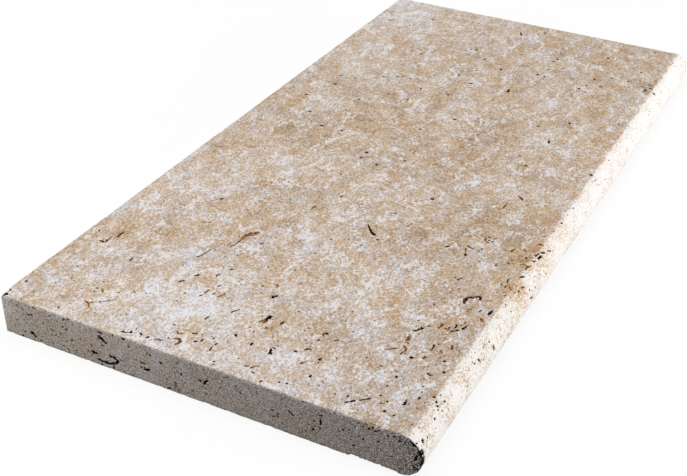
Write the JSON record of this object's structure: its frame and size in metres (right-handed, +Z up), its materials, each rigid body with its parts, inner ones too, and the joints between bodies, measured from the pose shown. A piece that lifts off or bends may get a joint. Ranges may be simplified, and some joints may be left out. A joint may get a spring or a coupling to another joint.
{
  "type": "pool coping",
  "caption": "Rectangular travertine coping slab with a full bullnose along one long edge, worn edges and natural voids, to cap a pool's rim.",
  "frame": {"origin": "middle of the underside's bounding rectangle", "axes": "+X towards the bullnose, +Y along the slab's length away from the near end, +Z up out of the worn top"},
  "size_m": [0.305, 0.61, 0.03],
  "materials": {
    "travertine": "matte"
  },
  "bodies": {
    "root": {"coping_stone": "travertine"}
  },
  "joints": []
}
